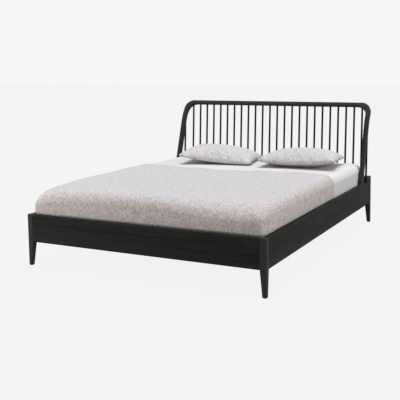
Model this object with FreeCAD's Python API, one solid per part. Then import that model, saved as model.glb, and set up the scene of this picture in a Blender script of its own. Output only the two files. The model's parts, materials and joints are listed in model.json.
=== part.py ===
import FreeCAD, Part
import math
import os

# Dressed spindle bed for a 1600 x 2000 mattress. Millimetres, +Z up, +Y towards the headboard, +X to the
# right of somebody who stands at the foot and looks at the headboard. The origin lies on the floor, below
# the middle of the whole bed.

Vec = FreeCAD.Vector
DOWN = Vec(0, 0, -1)
UP = Vec(0, 0, 1)

# --- mattress that the bed is made for ---
mattress_width = 1590.0
mattress_length = 2000.0

# --- frame ---
rail_bottom = 157.0             # clear height under the rails
rail_height = 179.0
rail_thickness = 30.0
rail_setback = 2.0              # the rails lie this far behind the faces of the legs
edge_round = 3.0                # eased long edges of rails, ledges, beam and board

# --- legs ---
leg_size = 40.0                 # square where the rails meet the leg
leg_foot_size = 25.5            # square at the floor; only the inner faces taper
leg_outer_round = 7.0           # the corner of the bed
leg_edge_round = 2.5            # the other three corners
glide_thickness = 3.0
glide_radius = 9.0
glide_pin_radius = 2.0
glide_pin_length = 12.0

# --- headboard ---
board_depth = 110.0             # board that the spindles stand in
board_thickness = 36.0
hoop_height = 936.5             # centre line of the hoop's top rail above the floor
hoop_behind = 2.0               # the same line behind the rear faces of the rear legs
hoop_width = 32.0               # height of the top rail's section, and width of a post seen from the front
hoop_depth = 34.0               # top rail from front to back
post_depth = 46.0               # posts from front to back; the corners grow rearward to this depth
hoop_round = 8.5                # rounding of the section
post_lean = 18.4                # degrees from upright
bend_lean = 35.0                # degrees from upright of the plane that a corner bends in
corner_radius = 100.0           # centre line of a corner, where it leaves the post and the top rail
corner_outer_round = 78.0       # outer edge of a corner, squarer than its inner edge
corner_stations = 13            # sections that a corner's bend is drawn through
kick_distance = 137.0           # from the top rail down to where post line and bend plane cross
spindle_count = 24              # spindles between the two that run up to the posts
spindle_radius = 7.5
spindle_lean = 3.43             # degrees from upright
spindle_end_spacing = 56.4      # from the last inner spindle to the post's centre line
spindle_foot_depth = 22.0       # depth of a spindle's socket in the board
spindle_top_gap = 3.0           # a spindle ends this far short of the hoop's centre line

# --- bed base ---
ledge_width = 28.0
ledge_height = 28.0
slat_top = 275.0                # height of the slats' upper face
slat_thickness = 18.0
slat_width = 80.0
slat_round = 4.0
slat_count = 15                 # on each side of the beam
tape_width = 25.0
tape_thickness = 1.0
tape_inset = 130.0              # from the ends of the slats to the middle of a tape
beam_width = 56.0
beam_height = 50.0
centre_leg_size = 38.0
centre_leg_spacing = 680.0      # from one centre leg to the other

# --- fastenings ---
dowel_radius = 5.0
dowel_length = 40.0
rail_dowel_low = 45.0           # foot and back rail: height of the lower dowel above the rail's edge
rail_dowel_spacing = 88.0
side_dowel_raise = 16.0         # the side rails' dowels pass above the others inside the leg
board_dowel_spread = 1300.0     # outermost dowels between the board and the back rail
board_dowel_count = 4
board_side_dowel_back = 60.0    # from the rear face of the legs to the dowel in a side rail
thin_dowel_radius = 4.0
post_dowel_length = 50.0
post_dowel_offset = 12.0        # either side of the post's centre line, front to back
hoop_dowel_length = 22.0
hoop_dowel_offset = 9.0
plate_reach = 36.0              # from the rails' corner to the start of the plate's diagonal
plate_flange = 50.0
plate_thickness = 3.0
plate_height = 50.0
plate_bottom = 165.0
corner_bolt_radius = 4.0
corner_bolt_in_leg = 26.0
nut_flats = 13.0
nut_thickness = 6.5
screw_radius = 2.0
screw_length = 20.0
screw_head_radius = 4.0
screw_head_height = 2.5
plate_screw_spread = 28.0       # between the two screws of a flange
ledge_screw_radius = 2.5
ledge_screw_length = 45.0
ledge_screw_head = 4.5
ledge_screw_count = 7
ledge_screw_sink = 3.0
hanger_thickness = 3.0
hanger_depth = 40.0
hanger_rise = 33.0              # height of the cheeks beside the beam
hanger_wing = 24.0
stud_radius = 4.0
stud_length = 60.0

# --- bedding ---
mattress_edge_top = 488.0       # height of the upper face where the rounded border starts
mattress_crown = 8.0            # rise from there to the middle
mattress_border = 58.0          # rounding between the upper face and the sides
mattress_under = 22.0           # rounding between the sides and the under face
mattress_corner = 24.0          # rounding of the upright corners
mattress_bulge = 2.0            # the sides swell this far above the rails
foot_fall_length = 150.0        # the upper face falls over this length towards the foot
foot_fall_drop = 86.0
head_fall_length = 34.0
head_fall_drop = 40.0
blanket_loft = 14.0             # thickness where it lies free on the mattress
blanket_tucked = 5.5            # thickness where it is pressed in beside the mattress
blanket_bulge = 11.0            # its sides swell out this far above the rails
blanket_edge_left = 700.0       # from the head end of the mattress to the blanket's edge
blanket_edge_right = 770.0
blanket_edge_bow = 110.0        # how far the middle of that edge lies nearer to the foot
blanket_tuck = 300.0            # height of the lower edge, tucked down inside the rails
pillow_length = 580.0
pillow_depth = 430.0
pillow_upper = 92.0             # rise of the crown above the seam
pillow_lower = 40.0             # drop of the under side below the seam
pillow_edge = 8.0               # thickness along the seam
pillow_draw_in = 14.0           # the long sides pull in this far between the corners
# each pillow: to the right of the middle, from the mattress's head end to its middle, turn, tilt
pillow_left_aside = -251.0
pillow_left_back = 373.0
pillow_left_turn = 9.7
pillow_left_tilt = 3.4
pillow_right_aside = 421.0
pillow_right_back = 346.0
pillow_right_turn = 7.0
pillow_right_tilt = -1.2

# --- clearances ---
dowel_fit = 0.1                 # on the radius
dowel_end_gap = 1.0
spindle_fit = 0.15
board_fit = 0.3
beam_fit = 0.5
slat_end_gap = 2.0
mattress_foot_gap = 9.0         # between the foot rail and the mattress
mattress_side_gap = 8.0
mattress_head_gap = 7.0         # between the mattress and the headboard's board
soft_gap = 0.3

# --- places worked out from the sizes above ---
frame_width = mattress_width + 2 * (mattress_side_gap + rail_thickness + rail_setback)
frame_length = (rail_setback + rail_thickness + mattress_foot_gap + mattress_length + mattress_head_gap
                + board_depth + rail_setback)
rail_top = rail_bottom + rail_height
board_top = rail_top + board_thickness
half_width = frame_width / 2
post_x = half_width - rail_setback - hoop_width / 2
bend_sin = math.sin(math.radians(bend_lean))
bend_cos = math.cos(math.radians(bend_lean))
lean_sin = math.sin(math.radians(post_lean))
lean_cos = math.cos(math.radians(post_lean))
# how far the rounded top rail reaches behind its centre line
hoop_reach = ((hoop_width / 2 - hoop_round) * bend_sin + (hoop_depth / 2 - hoop_round) * bend_cos
              + hoop_round)
total_length = frame_length + hoop_behind + hoop_reach
foot_face = -total_length / 2
head_face = foot_face + frame_length
rail_outer_x = half_width - rail_setback
rail_inner_x = rail_outer_x - rail_thickness
foot_inner = foot_face + rail_setback + rail_thickness
head_inner = head_face - rail_setback - rail_thickness
leg_inner_x = half_width - leg_size
board_front = head_face - rail_setback - board_depth
ledge_top = slat_top - slat_thickness
ledge_inner_x = rail_inner_x - ledge_width
ledge_start = foot_face + leg_size + 7.0
ledge_end = head_face - leg_size - 7.0
beam_bottom = ledge_top - beam_height
mattress_foot = foot_inner + mattress_foot_gap
mattress_head = mattress_foot + mattress_length
mattress_bottom = slat_top + tape_thickness + soft_gap

os.makedirs("parts", exist_ok=True)


def save(name, shape):
    """Writes one node and prints how many solids it holds."""
    shape.exportStep("parts/" + name + ".step")
    print("%-24s %2d solids %9.1f cm3" % (name, len(shape.Solids), shape.Volume / 1000))


def side_name(side):
    return "right" if side > 0 else "left"


def box(x_from, x_to, y_from, y_to, z_from, z_to):
    low = Vec(min(x_from, x_to), min(y_from, y_to), min(z_from, z_to))
    return Part.makeBox(abs(x_to - x_from), abs(y_to - y_from), abs(z_to - z_from), low)


def eased_bar(axis, radius, *corners):
    """A box whose four edges along the axis are rounded."""
    bar = box(*corners)
    along = [edge for edge in bar.Edges
             if abs(edge.tangentAt(edge.FirstParameter).dot(axis)) > 0.99]
    return bar.makeFillet(radius, along)


def rod(start, direction, radius, length):
    return Part.makeCylinder(radius, length, start, direction)


def pin(middle, direction, radius, length):
    """A round pin or dowel, given by its middle."""
    axis = Vec(direction).normalize()
    return rod(middle - axis * (length / 2), axis, radius, length)


def pin_hole(middle, direction, radius, length):
    return pin(middle, direction, radius + dowel_fit, length + 2 * dowel_end_gap)


def cut_all(shape, tools):
    return shape.cut(Part.makeCompound(tools)) if tools else shape


def rounded_wire(corners, radii):
    """A closed flat outline through the corners, each rounded by its own radius."""
    edges = []
    count = len(corners)
    starts, ends = [], []
    for i in range(count):
        here, before, after = corners[i], corners[i - 1], corners[(i + 1) % count]
        to_before = (before - here).normalize()
        to_after = (after - here).normalize()
        half_turn = to_before.getAngle(to_after) / 2
        reach = radii[i] / math.tan(half_turn)
        to_centre = (to_before + to_after).normalize()
        centre = here + to_centre * (radii[i] / math.sin(half_turn))
        starts.append(here + to_before * reach)
        ends.append(here + to_after * reach)
        edges.append(Part.Arc(starts[i], centre - to_centre * radii[i], ends[i]).toShape())
    for i in range(count):
        edges.append(Part.LineSegment(ends[i], starts[(i + 1) % count]).toShape())
    return Part.Wire(Part.__sortEdges__(edges))


# ---------------------------------------------------------------- frame

def leg_outline(side, end, size, height):
    """Outline of a leg at one height; side and end point from the bed's middle to its corner."""
    outer_x = side * half_width
    outer_y = foot_face if end < 0 else head_face
    inner_x = outer_x - side * size
    inner_y = outer_y - end * size
    corners = [Vec(outer_x, outer_y, height), Vec(inner_x, outer_y, height),
               Vec(inner_x, inner_y, height), Vec(outer_x, inner_y, height)]
    return rounded_wire(corners, [leg_outer_round] + [leg_edge_round] * 3)


def leg_foot_centre(side, end):
    """Middle of a leg's lower face."""
    y = (foot_face if end < 0 else head_face) - end * leg_foot_size / 2
    return Vec(side * (half_width - leg_foot_size / 2), y, glide_thickness)


def leg(side, end):
    top = rail_top if end < 0 else board_top
    taper = Part.makeLoft([leg_outline(side, end, leg_foot_size, glide_thickness),
                           leg_outline(side, end, leg_size, rail_bottom)], True, True)
    head = Part.Face(leg_outline(side, end, leg_size, rail_bottom)).extrude(UP * (top - rail_bottom))
    body = taper.fuse(head).removeSplitter()
    holes = [pin_hole(middle, direction, dowel_radius, dowel_length)
             for middle, direction in corner_dowels(side, end)]
    holes.append(rod(leg_foot_centre(side, end), UP, glide_pin_radius + dowel_fit,
                     glide_pin_length + dowel_end_gap))
    start, direction = corner_bolt_axis(side, end)
    holes.append(rod(start - direction * dowel_end_gap, direction, corner_bolt_radius + dowel_fit,
                     corner_bolt_in_leg + leg_size))
    return cut_all(body, holes)


def corner_dowels(side, end):
    """The dowels of one corner: middle and direction of each."""
    end_face = foot_face if end < 0 else head_face
    cross_y = end_face - end * (rail_setback + rail_thickness / 2)
    cross_x = side * leg_inner_x
    side_x = side * (rail_outer_x - rail_thickness / 2)
    side_y = end_face - end * leg_size
    dowels = []
    for step in range(2):
        z = rail_bottom + rail_dowel_low + step * rail_dowel_spacing
        dowels.append((Vec(cross_x, cross_y, z), Vec(1, 0, 0)))
        dowels.append((Vec(side_x, side_y, z + side_dowel_raise), Vec(0, 1, 0)))
    return dowels


def corner_bolt_axis(side, end):
    """Start inside the leg and direction of the bolt that runs through the corner plate."""
    end_face = foot_face if end < 0 else head_face
    direction = Vec(-side, -end, 0).normalize()
    inner_corner = Vec(side * leg_inner_x, end_face - end * leg_size, plate_bottom + plate_height / 2)
    return inner_corner - direction * corner_bolt_in_leg, direction


def cross_rail(end):
    """Foot rail or back rail, between two legs."""
    face = foot_face if end < 0 else head_face
    outer = face - end * rail_setback
    body = eased_bar(Vec(1, 0, 0), edge_round, -leg_inner_x, leg_inner_x, outer,
                     outer - end * rail_thickness, rail_bottom, rail_top)
    holes = [pin_hole(middle, direction, dowel_radius, dowel_length)
             for side in (-1, 1) for middle, direction in corner_dowels(side, end) if direction.x]
    if end > 0:
        holes += [pin_hole(middle, UP, dowel_radius, dowel_length) for middle in board_dowels(False)]
    holes += [screw_hole(*place) for place in bracket_screws() if abs(place[1].y) > 0.5
              and place[1].y * end > 0]
    return cut_all(body, holes)


def side_rail(side):
    body = eased_bar(Vec(0, 1, 0), edge_round, side * rail_inner_x, side * rail_outer_x,
                     foot_face + leg_size, head_face - leg_size, rail_bottom, rail_top)
    holes = [pin_hole(middle, direction, dowel_radius, dowel_length)
             for end in (-1, 1) for middle, direction in corner_dowels(side, end) if direction.y]
    holes += [pin_hole(middle, UP, dowel_radius, dowel_length) for middle in board_dowels(True)
              if middle.x * side > 0]
    holes += [pin_hole(middle, post_axis, thin_dowel_radius, post_dowel_length)
              for middle in post_dowels(side)]
    holes += [screw_hole(*place) for place in bracket_screws() if place[1].x * side > 0.5]
    holes += [rod(place, Vec(side, 0, 0), ledge_screw_radius, ledge_screw_length)
              for place in ledge_screw_places(side)]
    return cut_all(body, holes)


def board_dowels(into_sides):
    """Middles of the dowels under the headboard's board."""
    if into_sides:
        return [Vec(side * (rail_outer_x - rail_thickness / 2), head_face - board_side_dowel_back, rail_top)
                for side in (-1, 1)]
    y = head_face - rail_setback - rail_thickness / 2
    step = board_dowel_spread / (board_dowel_count - 1)
    return [Vec(-board_dowel_spread / 2 + i * step, y, rail_top) for i in range(board_dowel_count)]


# ---------------------------------------------------------------- headboard

# The hoop's centre line: each post leans by post_lean, turns back into the bend plane, runs round the
# corner in that plane and meets the straight top rail.
post_axis = Vec(0, lean_sin, lean_cos)
post_back = Vec(0, lean_cos, -lean_sin)
bend_axis = Vec(0, bend_sin, bend_cos)
bend_back = Vec(0, bend_cos, -bend_sin)
top_line = Vec(0, head_face + hoop_behind, hoop_height)
kick_reach = kick_distance - corner_radius
kick_radius = kick_reach / math.tan(math.radians(bend_lean - post_lean) / 2)
kick_point = top_line - bend_axis * kick_distance
post_end = kick_point - post_axis * kick_reach          # where the straight post stops
bend_start = kick_point + bend_axis * kick_reach        # where the corner's arc starts
top_half_length = post_x - corner_radius
post_foot = post_end - post_axis * ((post_end.z - rail_top) / lean_cos)


def section_wire(inner, outer, depth):
    """Rounded outline between two distances across the hoop; all sections share their front face."""
    front, back = -hoop_depth / 2, depth - hoop_depth / 2
    return rounded_wire([Vec(inner, front, 0), Vec(outer, front, 0), Vec(outer, back, 0), Vec(inner, back, 0)],
                        [hoop_round] * 4)


def hoop_section(place, lean, side=1, depth=post_depth):
    """The hoop's rounded section, square to a post that leans by so many degrees."""
    face = Part.Face(section_wire(-hoop_width / 2, hoop_width / 2, depth))
    face.Placement = FreeCAD.Placement(Vec(side * post_x, place.y, place.z),
                                       FreeCAD.Rotation(Vec(1, 0, 0), -lean))
    return face


def hoop_centre(x):
    """Point of the hoop's centre line above a spindle."""
    past = min(max(abs(x) - top_half_length, 0.0), corner_radius)
    drop = corner_radius - math.sqrt(corner_radius ** 2 - past ** 2)
    return Vec(x, top_line.y, top_line.z) - bend_axis * drop


def spindle_places():
    """Foot and top of each spindle's centre line, from left to right."""
    last = post_x - spindle_end_spacing
    step = 2 * last / (spindle_count - 1)
    xs = [-post_x] + [-last + i * step for i in range(spindle_count)] + [post_x]
    lean = math.radians(spindle_lean)
    axis = Vec(0, math.sin(lean), math.cos(lean))
    places = []
    for x in xs:
        centre = hoop_centre(x)
        top = centre - axis * spindle_top_gap
        foot_height = board_top - spindle_foot_depth
        foot = centre - axis * ((centre.z - foot_height) / axis.z)
        places.append((foot, top))
    return places


def spindle(foot, top):
    return rod(foot, top - foot, spindle_radius, (top - foot).Length)


def spindle_holes():
    holes = []
    for foot, top in spindle_places():
        axis = (top - foot).normalize()
        length = (top - foot).Length + 2 * dowel_end_gap
        holes.append(rod(foot - axis * dowel_end_gap, axis, spindle_radius + spindle_fit, length))
    return holes


def post_dowels(side):
    """Middles of the two dowels under a post."""
    foot = Vec(side * post_x, post_foot.y, post_foot.z) + post_back * (post_depth - hoop_depth) / 2
    return [foot - post_back * post_dowel_offset, foot + post_back * post_dowel_offset]


def hoop_dowels():
    """Middle and direction of each dowel in the hoop's four joints."""
    dowels = []
    for side in (-1, 1):
        for step in (-1, 1):
            at_post = Vec(side * post_x + step * hoop_dowel_offset, post_end.y, post_end.z)
            at_top = Vec(side * top_half_length, top_line.y, top_line.z) + bend_axis * (
                step * hoop_dowel_offset)
            dowels += [(at_post, post_axis), (at_top, Vec(1, 0, 0))]
    return dowels


def hoop_dowel_holes():
    return [pin_hole(middle, direction, thin_dowel_radius, hoop_dowel_length)
            for middle, direction in hoop_dowels()]


def hoop_post(side):
    below = 60.0                                        # the square foot is cut level with the rail
    start = post_foot - post_axis * below
    face = hoop_section(start, post_lean, side)
    body = face.extrude(post_axis * (post_end - start).Length)
    body = body.cut(box(side * (post_x - 2 * hoop_width), side * (post_x + 2 * hoop_width),
                        post_foot.y - 4 * below, post_foot.y + 2 * below, rail_top - 3 * below, rail_top))
    holes = [pin_hole(middle, post_axis, thin_dowel_radius, post_dowel_length)
             for middle in post_dowels(side)]
    return cut_all(body, holes + hoop_dowel_holes() + spindle_holes())


def corner_section(side, turn):
    """Outline of a corner's bend, so many degrees up from the post."""
    angle = math.radians(turn)
    across = Vec(side * math.cos(angle), 0, 0) + bend_axis * math.sin(angle)
    inner = corner_radius - hoop_width / 2
    outer_edge = corner_radius + hoop_width / 2
    round_centre = outer_edge - corner_outer_round
    spread = math.cos(angle) + math.sin(angle)
    if round_centre * max(math.tan(angle), 1e-9) < round_centre ** 2 / outer_edge:
        outer = outer_edge / math.cos(angle)
    elif turn > 45 and round_centre / math.tan(angle) < round_centre ** 2 / outer_edge:
        outer = outer_edge / math.sin(angle)
    else:
        outer = round_centre * spread + math.sqrt(
            corner_outer_round ** 2 - 2 * round_centre ** 2 + (round_centre * spread) ** 2)
    share = math.sin(min(turn / 65.0, 1.0) * math.pi / 2) ** 2
    wire = section_wire(inner, outer, post_depth + (hoop_depth - post_depth) * share)
    along = across.cross(bend_back)
    centre = Vec(side * top_half_length, bend_start.y, bend_start.z)
    wire.transformShape(FreeCAD.Matrix(across.x, bend_back.x, along.x, centre.x,
                                       across.y, bend_back.y, along.y, centre.y,
                                       across.z, bend_back.z, along.z, centre.z, 0, 0, 0, 1))
    return wire


def hoop_corner(side):
    """The bent corner: first back from the post's lean into the bend plane, then round to the top."""
    kick_centre = post_end + post_back * kick_radius
    kick = hoop_section(post_end, post_lean, side).revolve(
        Vec(side * post_x, kick_centre.y, kick_centre.z), Vec(-1, 0, 0), bend_lean - post_lean)
    bend = Part.makeLoft([corner_section(side, 90.0 * i / (corner_stations - 1))
                          for i in range(corner_stations)], True)
    body = kick.fuse(bend)
    return cut_all(body, spindle_holes() + hoop_dowel_holes())


def hoop_top_rail():
    centre = Vec(top_half_length, bend_start.y, bend_start.z)
    face = hoop_section(bend_start, bend_lean, 1, hoop_depth)
    face.rotate(centre, Vec(1, 0, 0).cross(bend_axis), 90)
    body = face.extrude(Vec(-2 * top_half_length, 0, 0))
    return cut_all(body, spindle_holes() + hoop_dowel_holes())


def headboard_board():
    """The board under the spindles, notched round the rear legs."""
    back = head_face - rail_setback
    body = eased_bar(Vec(1, 0, 0), edge_round, -rail_outer_x, rail_outer_x, board_front, back,
                     rail_top, board_top)
    tools = [box(side * (leg_inner_x - board_fit), side * (half_width + leg_size),
                 head_face - leg_size - board_fit, head_face + leg_size, rail_top - 1, board_top + 1)
             for side in (-1, 1)]
    tools += spindle_holes()
    tools += [pin_hole(middle, UP, dowel_radius, dowel_length)
              for middle in board_dowels(True) + board_dowels(False)]
    return cut_all(body, tools)


# ---------------------------------------------------------------- bed base

def ledge(side):
    body = eased_bar(Vec(0, 1, 0), edge_round, side * ledge_inner_x, side * rail_inner_x,
                     ledge_start, ledge_end, ledge_top - ledge_height, ledge_top)
    direction = Vec(side, 0, 0)
    holes = []
    for place in ledge_screw_places(side):
        holes.append(rod(place, direction, ledge_screw_radius, ledge_width))
        mouth = Vec(side * ledge_inner_x, place.y, place.z)
        holes.append(rod(mouth, direction, ledge_screw_head + dowel_fit, 2 * ledge_screw_sink))
    return cut_all(body, holes)


def ledge_screw_places(side):
    """Undersides of the ledge screws' heads."""
    margin = 90.0
    step = (ledge_end - ledge_start - 2 * margin) / (ledge_screw_count - 1)
    x = side * (ledge_inner_x + 2 * ledge_screw_sink)
    return [Vec(x, ledge_start + margin + i * step, ledge_top - ledge_height / 2)
            for i in range(ledge_screw_count)]


def ledge_screws():
    screws = []
    for side in (-1, 1):
        for place in ledge_screw_places(side):
            direction = Vec(side, 0, 0)
            shank = rod(place, direction, ledge_screw_radius, ledge_screw_length)
            head = rod(place - direction * ledge_screw_sink, direction, ledge_screw_head, ledge_screw_sink)
            screws.append(shank.fuse(head).removeSplitter())
    return Part.makeCompound(screws)


def slat_x(side):
    """Inner and outer end of the slats on one side."""
    return side * slat_end_gap, side * (rail_inner_x - slat_end_gap)


def slat_middles():
    first = ledge_start + slat_width
    last = board_front - slat_width
    step = (last - first) / (slat_count - 1)
    return [first + i * step for i in range(slat_count)]


def slats(side):
    inner, outer = slat_x(side)
    bars = [eased_bar(Vec(1, 0, 0), slat_round, inner, outer, y - slat_width / 2, y + slat_width / 2,
                      ledge_top, slat_top) for y in slat_middles()]
    return Part.makeCompound(bars)


def slat_tapes():
    middles = slat_middles()
    tapes = []
    for side in (-1, 1):
        inner, outer = slat_x(side)
        for x in (inner + side * tape_inset, outer - side * tape_inset):
            tapes.append(box(x - tape_width / 2, x + tape_width / 2, middles[0] - slat_width / 4,
                             middles[-1] + slat_width / 4, slat_top, slat_top + tape_thickness))
    return Part.makeCompound(tapes)


def centre_beam():
    gap = hanger_thickness + beam_fit
    body = eased_bar(Vec(0, 1, 0), edge_round, -beam_width / 2, beam_width / 2, foot_inner + gap,
                     head_inner - gap, beam_bottom, ledge_top)
    holes = [rod(Vec(0, y, beam_bottom), UP, stud_radius + dowel_fit, stud_length / 2 + dowel_end_gap)
             for y in centre_leg_ys()]
    return cut_all(body, holes)


def centre_leg_ys():
    return [-centre_leg_spacing / 2, centre_leg_spacing / 2]


def centre_leg(y):
    half = centre_leg_size / 2
    body = eased_bar(UP, edge_round, -half, half, y - half, y + half, glide_thickness, beam_bottom)
    stud_hole = rod(Vec(0, y, beam_bottom), DOWN, stud_radius + dowel_fit, stud_length / 2 + dowel_end_gap)
    glide_hole = rod(Vec(0, y, glide_thickness), UP, glide_pin_radius + dowel_fit,
                     glide_pin_length + dowel_end_gap)
    return cut_all(body, [stud_hole, glide_hole])


def centre_leg_studs():
    return [pin(Vec(0, y, beam_bottom), UP, stud_radius, stud_length) for y in centre_leg_ys()]


def leg_glides():
    centres = [leg_foot_centre(side, end) for side in (-1, 1) for end in (-1, 1)]
    centres += [Vec(0, y, glide_thickness) for y in centre_leg_ys()]
    glides = []
    for centre in centres:
        disc = rod(centre - UP * glide_thickness, UP, glide_radius, glide_thickness)
        glides.append(disc.fuse(rod(centre, UP, glide_pin_radius, glide_pin_length)).removeSplitter())
    return Part.makeCompound(glides)


# ---------------------------------------------------------------- steel fittings

def screw(place, direction):
    """A pan head screw; place is the underside of its head."""
    shank = rod(place, direction, screw_radius, screw_length)
    head = rod(place - direction * screw_head_height, direction, screw_head_radius, screw_head_height)
    return shank.fuse(head).removeSplitter()


def screw_hole(place, direction):
    return rod(place - direction * screw_head_height, direction, screw_radius,
               screw_head_height + screw_length)


def corner_point(side, end, along_x, along_y, height):
    """A point counted from the corner where the inner faces of two rails meet."""
    inner_y = foot_inner if end < 0 else head_inner
    return Vec(side * (rail_inner_x - along_x), inner_y - end * along_y, height)


def plate_screw_places(side, end):
    middle = plate_reach + plate_flange * 0.55
    places = []
    for step in (-0.5, 0.5):
        z = plate_bottom + plate_height / 2 + step * plate_screw_spread
        places.append((corner_point(side, end, plate_thickness, middle, z), Vec(side, 0, 0)))
        places.append((corner_point(side, end, middle, plate_thickness, z), Vec(0, end, 0)))
    return places


def hanger_screw_places(end):
    inner_y = foot_inner if end < 0 else head_inner
    y = inner_y - end * hanger_thickness
    x = beam_width / 2 + beam_fit + hanger_thickness + hanger_wing / 2
    return [(Vec(side * x, y, beam_bottom + hanger_rise * share), Vec(0, end, 0))
            for side in (-1, 1) for share in (0.2, 0.8)]


def bracket_screws():
    places = []
    for end in (-1, 1):
        for side in (-1, 1):
            places += plate_screw_places(side, end)
        places += hanger_screw_places(end)
    return places


def corner_plate(side, end):
    """A steel strip, bent twice, that lies across the corner and against both rails."""
    reach, t = plate_reach, plate_thickness
    far = reach + plate_flange
    inner = reach + t * math.tan(math.radians(22.5))
    outline = [(0, far), (0, reach), (reach, 0), (far, 0), (far, t), (inner, t), (t, inner), (t, far)]
    points = [corner_point(side, end, u, v, plate_bottom) for u, v in outline]
    body = Part.Face(Part.makePolygon(points + points[:1])).extrude(UP * plate_height)
    start, direction = corner_bolt_axis(side, end)
    holes = [rod(start, direction, corner_bolt_radius + 0.5, 3 * corner_bolt_in_leg)]
    holes += [rod(place - way * 2 * t, way, screw_radius + dowel_fit, 4 * t)
              for place, way in plate_screw_places(side, end)]
    return cut_all(body, holes)


def bolt_nut_face(side, end):
    """Middle of the plate's inner face, on the bolt's axis."""
    share = plate_reach / 2 + plate_thickness / math.sqrt(2)
    return corner_point(side, end, share, share, plate_bottom + plate_height / 2)


def corner_bolts():
    bolts = []
    for side in (-1, 1):
        for end in (-1, 1):
            start, direction = corner_bolt_axis(side, end)
            stop = bolt_nut_face(side, end) + direction * (nut_thickness + 3.0)
            bolts.append(rod(start, direction, corner_bolt_radius, (stop - start).dot(direction)))
    return Part.makeCompound(bolts)


def corner_nuts():
    nuts = []
    for side in (-1, 1):
        for end in (-1, 1):
            direction = corner_bolt_axis(side, end)[1]
            radius = nut_flats / math.sqrt(3)
            corners = [Vec(radius * math.cos(math.radians(60 * i)), radius * math.sin(math.radians(60 * i)), 0)
                       for i in range(7)]
            body = Part.Face(Part.makePolygon(corners)).extrude(UP * nut_thickness)
            body = body.cut(rod(DOWN, UP, corner_bolt_radius + dowel_fit, nut_thickness + 2))
            body.Placement = FreeCAD.Placement(bolt_nut_face(side, end), FreeCAD.Rotation(UP, direction))
            nuts.append(body)
    return Part.makeCompound(nuts)


def beam_hanger(end):
    """A steel pocket for one end of the beam, screwed to a rail by its wings."""
    inner_y = foot_inner if end < 0 else head_inner
    half = beam_width / 2 + beam_fit
    t = hanger_thickness
    low, high = beam_bottom - t, beam_bottom + hanger_rise
    wide = half + t + hanger_wing
    back = box(-wide, wide, inner_y, inner_y - end * t, low, high)
    shell = box(-half - t, half + t, inner_y, inner_y - end * hanger_depth, low, high)
    pocket = box(-half, half, inner_y - end * t, inner_y - end * 2 * hanger_depth, beam_bottom, high + t)
    body = back.fuse(shell.cut(pocket)).removeSplitter()
    holes = [rod(place - way * 2 * t, way, screw_radius + dowel_fit, 4 * t)
             for place, way in hanger_screw_places(end)]
    return cut_all(body, holes)


# ---------------------------------------------------------------- bedding

def pad_outline(y, inset, drop, grow, rise, bulge):
    """Cross-section of the mattress, or of the blanket's upper face: grown at the sides, raised at the top."""
    w = mattress_width / 2 + grow - inset
    z0 = mattress_bottom - grow
    free = rail_top + edge_round                        # the sides swell from here up
    edge = mattress_edge_top + rise - drop
    over = mattress_border + grow
    under = mattress_under
    slope = 1 - math.sin(math.radians(45))
    right = [Vec(w - under, y, z0), Vec(w, y, z0 + under), Vec(w, y, free), Vec(w, y, edge - over),
             Vec(w - over, y, edge)]
    right_middles = [Vec(w - under * slope, y, z0 + under * slope), None,
                     Vec(w + bulge, y, (free + edge - over) / 2),
                     Vec(w - over * slope, y, edge - over * slope)]
    left = [Vec(-p.x, y, p.z) for p in reversed(right)]
    left_middles = [Vec(-p.x, y, p.z) if p else None for p in reversed(right_middles)]
    points = right + left
    middles = right_middles + [Vec(0, y, edge + mattress_crown)] + left_middles + [None]
    edges = []
    for i, middle in enumerate(middles):
        start, end = points[i], points[(i + 1) % len(points)]
        edges.append(Part.Arc(start, middle, end).toShape() if middle
                     else Part.LineSegment(start, end).toShape())
    return Part.Wire(edges)


def end_stations(fall_length, fall_drop, grow):
    """Distance from an end, inset of the sides and drop of the upper face for the sections near that end."""
    length, drop, corner = fall_length + grow, fall_drop + grow, mattress_corner + grow
    stations = []
    for turn in (0, 12, 24, 38, 54, 72, 90):
        distance = length * (1 - math.cos(math.radians(turn)))
        rest = max(corner - distance, 0.0)
        inset = corner - math.sqrt(corner ** 2 - rest ** 2)
        stations.append((distance, inset, drop * (1 - math.sin(math.radians(turn)))))
    return stations


def pad(grow, rise, bulge):
    """The mattress's form, or that form grown at the sides, raised at the top and swollen above the rails."""
    start, end = mattress_foot - grow, mattress_head + grow
    foot = end_stations(foot_fall_length, foot_fall_drop, grow)
    head = end_stations(head_fall_length, head_fall_drop, grow)
    flat_start, flat_end = start + foot[-1][0], end - head[-1][0]
    stations = [(start + d, inset, drop) for d, inset, drop in foot]
    stations += [(flat_start + (flat_end - flat_start) * share, 0, 0)
                 for share in (0.06, 0.2, 0.4, 0.6, 0.8, 0.94)]
    stations += [(end - d, inset, drop) for d, inset, drop in reversed(head)]
    wires = [pad_outline(y, inset, drop, grow, rise, bulge) for y, inset, drop in stations]
    return Part.makeLoft(wires, True, False)


def blanket():
    """A cover over the foot end of the mattress, tucked down inside the rails."""
    outer = pad(soft_gap + blanket_tucked, soft_gap + blanket_loft, blanket_bulge)
    shell = outer.cut(pad(soft_gap, soft_gap, mattress_bulge))
    slant = (blanket_edge_right - blanket_edge_left) / mattress_width
    middle = mattress_head - (blanket_edge_left + blanket_edge_right) / 2
    points = []
    for share in (1.05, 0.75, 0.4, 0.0, -0.4, -0.75, -1.05):
        x = share * mattress_width / 2
        points.append(Vec(x, middle - slant * x - blanket_edge_bow * (1 - share ** 2), blanket_tuck))
    edge = Part.BSplineCurve()
    edge.interpolate(points)
    foot = mattress_foot - rail_thickness
    corners = [points[-1], Vec(points[-1].x, foot, blanket_tuck), Vec(points[0].x, foot, blanket_tuck), points[0]]
    keep = Part.Face(Part.Wire([edge.toShape()] + Part.makePolygon(corners).Edges)).extrude(UP * rail_top)
    return shell.common(keep)


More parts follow.
